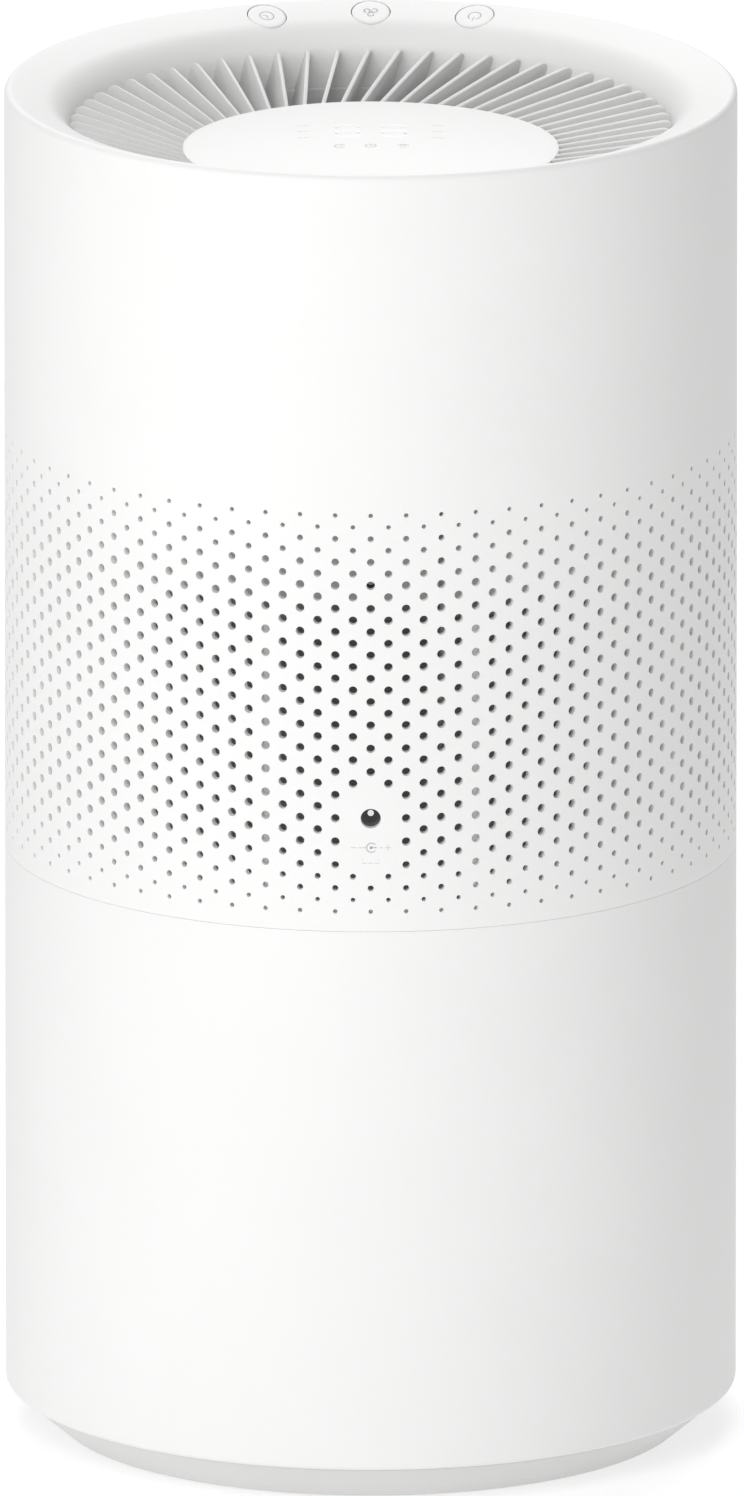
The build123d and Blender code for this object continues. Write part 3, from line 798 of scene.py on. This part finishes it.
@dataclass
class UpperShell:
    """The outer wall with its perforated band, sloping rim and throat."""

    rim: Rim = field(default_factory=Rim)
    wall: float = 2.5 * MM
    bottom: float = 188 * MM
    columns: int = 130
    rows: int = 18
    row_pitch: float = 7.518 * MM
    top_row: float = 322.3 * MM
    hole_radius: float = 1.4 * MM
    blank_rows: tuple[int, int] = (12, 15)
    throat_radius: float = 94.5 * MM
    throat_bottom: float = 404 * MM
    lip_round: float = 12 * MM
    edge_round: float = 0.3 * MM
    jack_height: float = 224.6 * MM
    jack_hole_radius: float = 3.15 * MM
    button_circle: float = 105.9 * MM
    button_hole_radius: float = 6.3 * MM
    button_spacing: float = radians(18)

    @property
    def cell_width(self) -> float:
        """Width of one cell round the outer face."""
        return 2 * pi * self.rim.radius / self.columns

    def build(self) -> None:
        """Build the shell as one closed surface."""
        band = self._band()
        mesh = bmesh.new()
        mesh.from_mesh(band.data)
        bpy.data.objects.remove(band)
        segments = self.columns * 2
        lathe(mesh, self._upper_profile(), segments, closed=False)
        lathe(mesh, self._lower_profile(), segments, closed=False)
        bmesh.ops.remove_doubles(mesh, verts=mesh.verts, dist=5e-6)
        shell = new_object("upper_shell_skin", mesh, WHITE)
        cut(shell, self._cutters())
        smooth(shell)
        settle(shell, Body.HOUSING, "white_plastic", "upper_shell")

    def _cell(self, name: str, height: float, rim: bool) -> Object:
        """Make one cell of the band, flat.

        Args:
            name: Name of the cell.
            height: Height of the cell.
            rim: Whether the cell has a hole.

        Returns:
            The cell, with width on X, height on Y, and 0 or 1 through the wall on Z.
        """
        side = self.cell_width / 2
        quarter = self.row_pitch / 4
        levels = round(height / quarter)
        right = [(side, -height / 2 + quarter * level) for level in range(levels + 1)]
        left = [(-x, y) for x, y in reversed(right)]
        border = [*right, (0, height / 2), *left, (0, -height / 2)]
        circle = [(cos(pi / 6 * (n - 2)), sin(pi / 6 * (n - 2))) for n in range(len(border))]
        mesh = bmesh.new()
        marks = mesh.verts.layers.float.new("rim")
        rings = []
        for depth in (0, 1):
            rings.append([mesh.verts.new((x, y, depth)) for x, y in border])
            if rim:
                rings.append([mesh.verts.new((x, y, depth)) for x, y in circle])
            else:
                rings.append([mesh.verts.new((0, 0, depth))] * len(border))
        outer_edge, outer_hole, inner_edge, inner_hole = rings
        bridge(mesh, outer_edge, outer_hole)
        bridge(mesh, inner_hole, inner_edge)
        if rim:
            bridge(mesh, outer_hole, inner_hole)
            for vertex in (*outer_hole, *inner_hole):
                vertex[marks] = 1.0
        data = bpy.data.meshes.new(name)
        mesh.to_mesh(data)
        mesh.free()
        return place_object(name, data)

    def _band(self) -> Object:
        """Make the perforated band with Geometry Nodes.

        Returns:
            The band as a plain mesh.
        """
        cell = self._cell("holed_cell", self.row_pitch, True)
        plain = self._cell("plain_cell", self.row_pitch, False)
        half = self._cell("half_cell", self.row_pitch / 2, False)
        values = {
            "Columns": self.columns,
            "Rows": self.rows,
            "Cell Width": self.cell_width,
            "Row Pitch": self.row_pitch,
            "Top Row Height": self.top_row,
            "Hole Radius": self.hole_radius,
            "Radius": self.rim.radius,
            "Wall": self.wall,
            "First Blank Row": self.blank_rows[0],
            "Last Blank Row": self.blank_rows[1],
            "Plain Cell": plain,
            "Half Cell": half,
            "Material": WHITE.material(),
        }
        PerforationTree().run(cell, values)
        bpy.data.objects.remove(plain)
        bpy.data.objects.remove(half)
        return cell

    def _upper_profile(self) -> list[Point2]:
        """Section from the band's outer top edge over the rim to its inner top edge."""
        join = self.top_row + self.row_pitch / 2
        outer = self.rim.radius
        inner = outer - self.wall
        throat = self.throat_radius
        under = self.wall / cos(self.rim.slope)
        points = [
            (outer, join),
            (outer, join + (self.rim.top - join) * 0.5),
            (outer, self.rim.height(outer)),
            (throat, self.rim.height(throat)),
            (throat, self.throat_bottom),
            (throat + self.wall, self.throat_bottom),
            (throat + self.wall, self.rim.height(throat + self.wall) - under),
            (inner, self.rim.height(inner) - under),
            (inner, join),
        ]
        under_round = self.lip_round - self.wall
        radii = {2: self.rim.crest_round, 3: self.lip_round, 4: self.edge_round, 6: under_round}
        return rounded(points, radii, 9)

    def _lower_profile(self) -> list[Point2]:
        """Section from the band's inner bottom edge round the foot to its outer bottom edge."""
        join = self.top_row - self.row_pitch * (self.rows - 0.5)
        outer = self.rim.radius
        inner = outer - self.wall
        points = [(inner, join), (inner, self.bottom), (outer, self.bottom), (outer, join)]
        return rounded(points, {2: 0.07 * MM}, 3)

    def _cutters(self) -> Object:
        """Cylinders for the three button holes and the inlet hole."""
        mesh = bmesh.new()
        for turn in (-1, 0, 1):
            angle = pi / 2 + turn * self.button_spacing
            place = (self.button_circle * cos(angle), self.button_circle * sin(angle))
            disc(mesh, self.button_hole_radius, self.rim.top - 12 * MM, self.rim.top + 5 * MM, place, 64)
        radius = self.jack_hole_radius
        ring = [Vector((radius * cos(a), -0.11, self.jack_height + radius * sin(a))) for a in turns(48)]
        prism(mesh, ring, Vector((0, -0.01, 0)))
        bmesh.ops.recalc_face_normals(mesh, faces=mesh.faces)
        return new_object("shell_cutters", mesh, WHITE)

    def build_marks(self) -> None:
        """Print a plain direct-current sign and a polarity sign under the inlet."""
        drawing = Strokes(0.35 * MM)
        drawing.arc((0.2, 215.2), 1.5, 40, 320, 16).arc((0.2, 215.2), 0.3, 0, 360, 8)
        drawing.line((0.5, 215.2), (3.6, 215.2)).line((-3.6, 215.2), (-1.3, 215.2))
        drawing.line((-6.1, 215.2), (-4.6, 215.2)).line((4.6, 215.2), (6.1, 215.2))
        drawing.line((5.35, 214.45), (5.35, 215.95))
        drawing.line((-2.6, 211.4), (2.6, 211.4))
        for x in (-2.6, -0.6, 1.4):
            drawing.line((x, 210.2), (x + 1.2, 210.2))
        mesh = bmesh.new()
        drawing.lay(mesh, self._wall_surface, rise=0.005 * MM)
        settle(new_object("inlet_marks", mesh, PRINT_GREY), Body.HOUSING, "sensor_plastic")

    def _wall_surface(self, x: float, z: float, lift: float) -> Vector:
        """Point on the wall round the inlet side."""
        reach = self.rim.radius + lift
        angle = x / self.rim.radius - pi / 2
        return Vector((reach * cos(angle), reach * sin(angle), z))


# Buttons


@dataclass
class Button:
    """One round push button, flush with the rim."""

    name: str
    turn: int
    shell: UpperShell
    radius: float = 6 * MM
    skirt_bottom: float = 424 * MM
    edge_drop: float = 0.25 * MM
    stem_bottom: float = 419.3 * MM

    @property
    def angle(self) -> float:
        """Direction of the button's middle."""
        return pi / 2 + self.turn * self.shell.button_spacing

    @property
    def centre(self) -> Vector:
        """Place of the button's middle in plan."""
        return Vector((cos(self.angle), sin(self.angle), 0)) * self.shell.button_circle

    def build(self, icon: Strokes) -> None:
        """Build the button and its icon.

        Args:
            icon: Line drawing, in the button's own plan with +Y away from the axis.
        """
        mesh = bmesh.new()
        rings = [(0.35, 0.0), (0.7, 0.0), (0.93, 0.0), (0.975, 0.35), (1.0, 1.0)]
        segments = 64
        inner = [mesh.verts.new(self.shell.rim.surface(self.centre.x, self.centre.y, 0.0))] * segments
        for share, drop in rings:
            reach = share * self.radius
            places = [self.centre + Vector((cos(a), sin(a), 0)) * reach for a in turns(segments)]
            ring = [mesh.verts.new(self.shell.rim.surface(c.x, c.y, -drop * self.edge_drop)) for c in places]
            bridge(mesh, ring, inner)
            inner = ring
        base = [mesh.verts.new((vertex.co.x, vertex.co.y, self.skirt_bottom)) for vertex in inner]
        bridge(mesh, base, inner)
        mesh.faces.new(base[::-1])
        self._add_ears(mesh)
        disc(mesh, 2 * MM, self.stem_bottom, self.skirt_bottom, (self.centre.x, self.centre.y), 32)
        settle(new_object(f"{self.name}_cap", mesh, WHITE), self.name, "white_plastic", self.name)
        drawing = bmesh.new()
        icon.lay(drawing, self._icon_surface)
        settle(new_object(f"{self.name}_icon", drawing, MARK_GREY), self.name, "sensor_plastic")

    def _add_ears(self, mesh: Mesh) -> None:
        """Add the bar whose ends keep the button under the rim."""
        outward = Vector((cos(self.angle), sin(self.angle), 0))
        sideways = Vector((-outward.y, outward.x, 0))
        low = self.centre + Vector((0, 0, 422.4 * MM))
        corners = [(-4, -8.2), (4, -8.2), (4, 8.2), (-4, 8.2)]
        outline = [low + outward * a * MM + sideways * b * MM for a, b in corners]
        prism(mesh, outline, Vector((0, 0, self.skirt_bottom - 422.4 * MM)))

    def _icon_surface(self, x: float, y: float, lift: float) -> Vector:
        """Point on the rim from the button's own plan."""
        outward = Vector((cos(self.angle), sin(self.angle), 0))
        sideways = Vector((-outward.y, outward.x, 0))
        place = self.centre + outward * -y + sideways * x
        return self.shell.rim.surface(place.x, place.y, lift)


def power_icon() -> Strokes:
    """Open ring with a bar."""
    return Strokes(0.3 * MM).arc((0, 0), 2.0, 125, 415).line((0, 0.7), (0, 2.5))


def speed_icon() -> Strokes:
    """Three curved fan blades round a hub."""
    drawing = Strokes(0.3 * MM).arc((0, 0), 0.5, 0, 360, 12)
    for turn in (90, 210, 330):
        base = (1.35 * cos(radians(turn)), 1.35 * sin(radians(turn)))
        drawing.arc(base, 0.95, turn - 150, turn + 100, 14)
    return drawing


def timer_icon() -> Strokes:
    """Clock face with two hands."""
    return Strokes(0.3 * MM).arc((0, 0), 2.2, 0, 360, 28).line((0, 1.4), (0, 0), (1.1, -0.6))


# Outlet and display


@dataclass
class OutletGrille:
    """Swept, tilted fins between the hub collar and the tip ring."""

    ring: RingTree
    count: int = 60
    hub_radius: float = 59 * MM
    hub_top: float = 410.9 * MM
    tip_radius: float = 94.2 * MM
    tip_height: float = 421 * MM
    root_height: float = 412 * MM
    sweep: float = radians(8.5)
    tilt: float = radians(16)
    thickness: float = 1.35 * MM
    tip_depth: float = 16 * MM
    root_depth: float = 12 * MM
    ring_wall: float = 1.8 * MM
    ring_heights: tuple[float, float] = (401.6 * MM, 408 * MM)

    def build(self) -> None:
        """Build the fins, the collar and the tip ring as one piece."""
        fin = new_object("outlet_fins", self._fin(), GRILLE_SHADED_WHITE)
        bevel(fin, 0.3 * MM, 2)
        self.ring.copy_round(fin, self.count, GRILLE_SHADED_WHITE, pi / 2)
        mesh = bmesh.new()
        mesh.from_mesh(fin.data)
        bpy.data.objects.remove(fin)
        inner = self.hub_radius - 2.5 * MM
        collar = [
            (inner, 398 * MM),
            (self.hub_radius, 398 * MM),
            (self.hub_radius, self.hub_top),
            (inner, self.hub_top),
            (inner, 402 * MM),
            (inner - 5.5 * MM, 402 * MM),
            (inner - 5.5 * MM, 400 * MM),
            (inner, 400 * MM),
        ]
        lathe(mesh, rounded(collar, {2: 0.4 * MM}, 3), 180)
        outer = self.tip_radius - 0.2 * MM
        inside = outer - self.ring_wall
        low, high = self.ring_heights
        ring = [(inside, low), (outer, low), (outer, high), (inside, high)]
        lathe(mesh, rounded(ring, {2: 0.3 * MM, 3: 0.3 * MM}, 3), 180)
        grille = new_object("outlet_grille_fins", mesh, GRILLE_SHADED_WHITE)
        settle(grille, Body.HOUSING, "white_plastic", "outlet_grille")

    def _fin(self) -> Mesh:
        """Make the first fin, with its tip on the +X side.

        Returns:
            The fin as a thin plate.
        """
        tip = Vector((self.tip_radius, 0, self.tip_height))
        reach = self.hub_radius
        root = Vector((reach * cos(self.sweep), reach * sin(self.sweep), self.root_height))
        along = (root - tip).normalized()
        flat = Vector((along.x, along.y, 0)).normalized()
        sideways = Vector((flat.y, -flat.x, 0))
        down = sideways * sin(self.tilt) - Vector((0, 0, cos(self.tilt)))
        down = (down - along * down.dot(along)).normalized()
        length = (root - tip).length
        corners = [
            (0.15 * MM, 0),
            (length + 1 * MM, 0),
            (length + 1 * MM, self.root_depth),
            (0.3 * MM, self.tip_depth),
        ]
        outline = [tip + along * s + down * t for s, t in rounded(corners, {0: 2.5 * MM}, 5)]
        normal = along.cross(down).normalized() * self.thickness
        mesh = bmesh.new()
        prism(mesh, [corner - normal / 2 for corner in outline], normal)
        bmesh.ops.recalc_face_normals(mesh, faces=mesh.faces)
        return mesh


@dataclass
class DisplayCover:
    """The shallow dome in the middle, with unlit numerals and icons."""

    edge: float = 59.1 * MM
    edge_height: float = 411.9 * MM
    rise: float = 5 * MM
    thickness: float = 2 * MM
    digit_width: float = 6.6
    digit_height: float = 15.0
    digit_middle: float = 2.5
    icon_level: float = -16.0

    def height(self, radius: float) -> float:
        """Height of the dome's outer face at a radius."""
        ball = (self.edge**2 + self.rise**2) / (2 * self.rise)
        return self.edge_height + self.rise - ball + sqrt(ball**2 - radius**2)

    def surface(self, x: float, y: float, lift: float) -> Vector:
        """Point above the dome at a place in plan."""
        return Vector((x, y, self.height(hypot(x, y)) + lift))

    def build(self) -> None:
        """Build the dome and lay its marks."""
        steps = 24
        inner = self.edge - 3 * MM
        outside = [(self.edge * n / steps, self.height(self.edge * n / steps)) for n in range(steps, -1, -1)]
        spots = [inner * n / steps for n in range(steps + 1)]
        inside = [(radius, self.height(radius) - self.thickness) for radius in spots]
        base = self.edge_height - 1 * MM
        profile = rounded([(inner, base), (self.edge, base), *outside, *inside], {2: 0.35 * MM}, 3)
        mesh = bmesh.new()
        lathe(mesh, profile, 192)
        bmesh.ops.remove_doubles(mesh, verts=mesh.verts, dist=1e-6)
        settle(new_object("display_dome", mesh, COVER_WHITE), Body.HOUSING, "cover_plastic", "display_cover")
        ghost = bmesh.new()
        self._numerals().lay(ghost, self.surface, 0.015 * MM)
        settle(new_object("display_numerals", ghost, GHOST_WHITE), Body.HOUSING, "led_plastic")
        printed = bmesh.new()
        self._icons().lay(printed, self.surface, 0.015 * MM)
        settle(new_object("display_icons", printed, MARK_GREY), Body.HOUSING, "sensor_plastic")
        self._build_lamps()

    def _build_lamps(self) -> None:
        """Build the numeral block and the light guides that stand under the marks."""
        mesh = bmesh.new()
        box(mesh, (-17, -7, 403.6), (17, 12, 410))
        level = self.icon_level
        for x in (-9.6, 0.0, 10.2):
            box(mesh, (x - 3, level - 3, 403.6), (x + 3, level + 3, 409))
        lamps = new_object("display_lamps", mesh, LED_WHITE)
        settle(lamps, Body.HOUSING, "led_plastic", "display_module", "light_guides")

    def _numerals(self) -> Strokes:
        """Two seven-bar numerals with every bar drawn, as they look unlit."""
        drawing = Strokes(1.5 * MM)
        gap = 1.1
        for centre in (-7.2, 7.2):
            left = centre - self.digit_width / 2
            right = centre + self.digit_width / 2
            low = self.digit_middle - self.digit_height / 2
            high = self.digit_middle + self.digit_height / 2
            for level in (low, self.digit_middle, high):
                drawing.line((left + gap, level), (right - gap, level))
            for side in (left, right):
                drawing.line((side, low + gap), (side, self.digit_middle - gap))
                drawing.line((side, self.digit_middle + gap), (side, high - gap))
        return drawing

    def _icons(self) -> Strokes:
        """Small signs under and beside the numerals."""
        drawing = Strokes(0.28 * MM)
        level = self.icon_level
        drawing.arc((-9.6, level), 1.7, 60, 330, 16).line((-9.6, level), (-8.3, level + 1.3))
        drawing.arc((0, level), 1.7, 0, 360, 20).line((0, level + 1.1), (0, level), (0.9, level - 0.4))
        drawing.arc((10.2, level), 1.9, 20, 160, 10).arc((10.2, level), 0.9, 20, 160, 8)
        drawing.line((9.2, level - 1.2), (11.2, level - 1.2))
        for side in (-1, 1):
            for row in (-4.7, 3.3, 11.1):
                drawing.line((side * 21 - 1.8, row), (side * 21 - 0.4, row))
                drawing.line((side * 21 + 0.2, row), (side * 21 + 1.8, row))
        return drawing


# Lower drum and base


@dataclass
class LowerDrum:
    """The drum wall and floor, and the cone under it."""

    radius: float = 115 * MM
    wall: float = 2.5 * MM
    bottom: float = 13 * MM
    top: float = 187.92 * MM
    floor: tuple[float, float] = (16 * MM, 18.5 * MM)
    bottom_round: float = 1.8 * MM
    top_round: float = 0.07 * MM
    segments: int = 260
    screw_circle: float = 84 * MM
    boss_radius: float = 4.5 * MM
    boss_bottom: float = 7.5 * MM

    def build(self) -> None:
        """Build the drum and the base ring."""
        inner = self.radius - self.wall
        low, high = self.floor
        profile = [
            (inner, self.bottom),
            (self.radius, self.bottom),
            (self.radius, self.top),
            (inner, self.top),
            (inner, high),
            (0, high),
            (0, low),
            (inner, low),
        ]
        mesh = bmesh.new()
        radii = {1: self.bottom_round, 2: self.top_round, 3: self.top_round}
        lathe(mesh, rounded(profile, radii, 5), self.segments)
        self._add_bosses(mesh)
        settle(new_object("lower_drum_skin", mesh, WHITE), Body.DRUM, "white_plastic", "lower_drum")
        self._build_base_ring()

    def _add_bosses(self, mesh: Mesh) -> None:
        """Add the screw bosses under the floor and the magnet pocket on the wall."""
        for angle in turns(6):
            place = (self.screw_circle * cos(angle), self.screw_circle * sin(angle))
            disc(mesh, self.boss_radius, self.boss_bottom, self.floor[0] + 0.2 * MM, place, 32)
        box(mesh, (-5, -112.6, 162), (5, -103, 164))
        for x in (-5, 3):
            box(mesh, (x, -112.3, 163.9), (x + 2, -103, 172))

    def _build_base_ring(self) -> None:
        """Build the cone that sets the drum back from the floor."""
        cone = [(94.4, 0.5), (98.3, 0.5), (113, 12.9), (109.8, 12.9)]
        flange = [(101.5, 7.5), (76, 7.5), (76, 5.5), (94.4, 5.5)]
        profile = [(radius * MM, height * MM) for radius, height in cone + flange]
        mesh = bmesh.new()
        lathe(mesh, rounded(profile, {1: 0.8 * MM, 2: 0.4 * MM}, 4), self.segments)
        # The cone's grey finish is painted shade on its downward slope.
        settle(new_object("base_cone", mesh, BASE_PAINTED_SHADE), Body.DRUM, "base_plastic", "base_ring")


# Filter


@dataclass
class FilterPleats:
    """The pleated paper between the filter's end caps."""

    ring: RingTree
    outer: float = 73.2 * MM
    inner: float = 52 * MM
    low: float = 34 * MM
    high: float = 280 * MM
    pleats: int = 120
    paper: float = 0.6 * MM

    def build(self) -> None:
        """Build one pleat and repeat it round the filter."""
        step = 2 * pi / self.pleats
        fold = [(self.inner, -step / 2), (self.outer, 0.0), (self.inner, step / 2)]
        mesh = bmesh.new()
        front = [Vector((r * cos(a), r * sin(a), self.low)) for r, a in fold]
        back = [Vector(((r - self.paper) * cos(a), (r - self.paper) * sin(a), self.low)) for r, a in fold]
        back[1] *= (self.outer - 6 * self.paper) / back[1].length if back[1].length else 1.0
        back[1].z = self.low
        prism(mesh, [*front, *reversed(back)], Vector((0, 0, self.high - self.low)))
        bmesh.ops.recalc_face_normals(mesh, faces=mesh.faces)
        pleat = new_object("filter_pleats", mesh, PAPER)
        self.ring.copy_round(pleat, self.pleats, PAPER)
        smooth(pleat)
        settle(pleat, Body.FILTER, "paper", "filter_media")


# Stage


@dataclass
class Studio:
    """Pale floor, soft lights and the camera."""

    distance: float = 19.592
    lens: float = 1500.0
    elevation: float = radians(14.73)
    aim: Vector = field(default_factory=lambda: Vector((0.0004, 0.0, 0.2172)))

    def build(self) -> None:
        """Set up the floor, the lights and the camera."""
        self._floor()
        self._light("key_light", (-1.9, -2.62, 0.42), 27.0, 1.6)
        self._light("front_light", (-0.68, -2.2, 2.2), 36.0, 1.8)
        self._light("top_light", (0.0, 2.3, 2.55), 56.0, 2.2)
        world = bpy.data.worlds.new("studio")
        bpy.context.scene.world = world
        world.use_nodes = True
        background = world.node_tree.nodes["Background"]
        background.inputs["Color"].default_value = (1, 1, 1, 1)
        background.inputs["Strength"].default_value = 0.46
        bpy.context.scene.view_settings.view_transform = "Standard"
        self._camera()

    def _floor(self) -> None:
        """Lay a wide pale floor."""
        mesh = bmesh.new()
        disc(mesh, 6.0, -0.01, -0.0001, (0, 0), 96)
        grey = (0.5, 0.5, 0.5)
        paper = Finish("floor_paper", grey, 0.9, variation=0.01, grain=300, bump=0.01, inner_light=0.56)
        new_object("studio_floor", mesh, paper)

    def _light(self, name: str, place: tuple[float, float, float], power: float, size: float) -> None:
        """Add a soft square light that points at the object.

        Args:
            name: Name of the light.
            place: Its position.
            power: Its power in watts.
            size: Length of its side.
        """
        data = bpy.data.lights.new(name, "AREA")
        data.energy = power
        data.size = size
        light = place_object(name, data)
        light.location = place
        light.rotation_euler = (self.aim - Vector(place)).to_track_quat("-Z", "Y").to_euler()

    def _camera(self) -> None:
        """Place the camera on the inlet side, a little above the object."""
        data = bpy.data.cameras.new("camera")
        data.lens = self.lens
        data.sensor_fit = "VERTICAL"
        data.sensor_height = 36.0
        data.sensor_width = 70.0
        data.clip_end = 100.0
        camera = place_object("camera", data)
        back = Vector((0, -cos(self.elevation), sin(self.elevation)))
        camera.location = self.aim + back * self.distance
        camera.rotation_euler = (-back).to_track_quat("-Z", "Y").to_euler()
        bpy.context.scene.camera = camera


def main() -> None:
    """Build every sub-assembly in order."""
    logging.basicConfig(level=logging.INFO, format="%(message)s")
    ring = RingTree()
    dress_nodes()
    shell = UpperShell()
    shell.build()
    shell.build_marks()
    Button("power_button", -1, shell).build(power_icon())
    Button("speed_button", 0, shell).build(speed_icon())
    Button("timer_button", 1, shell).build(timer_icon())
    OutletGrille(ring).build()
    DisplayCover().build()
    LowerDrum().build()
    FilterPleats(ring).build()
    Studio().build()


if __name__ == "__main__":
    main()
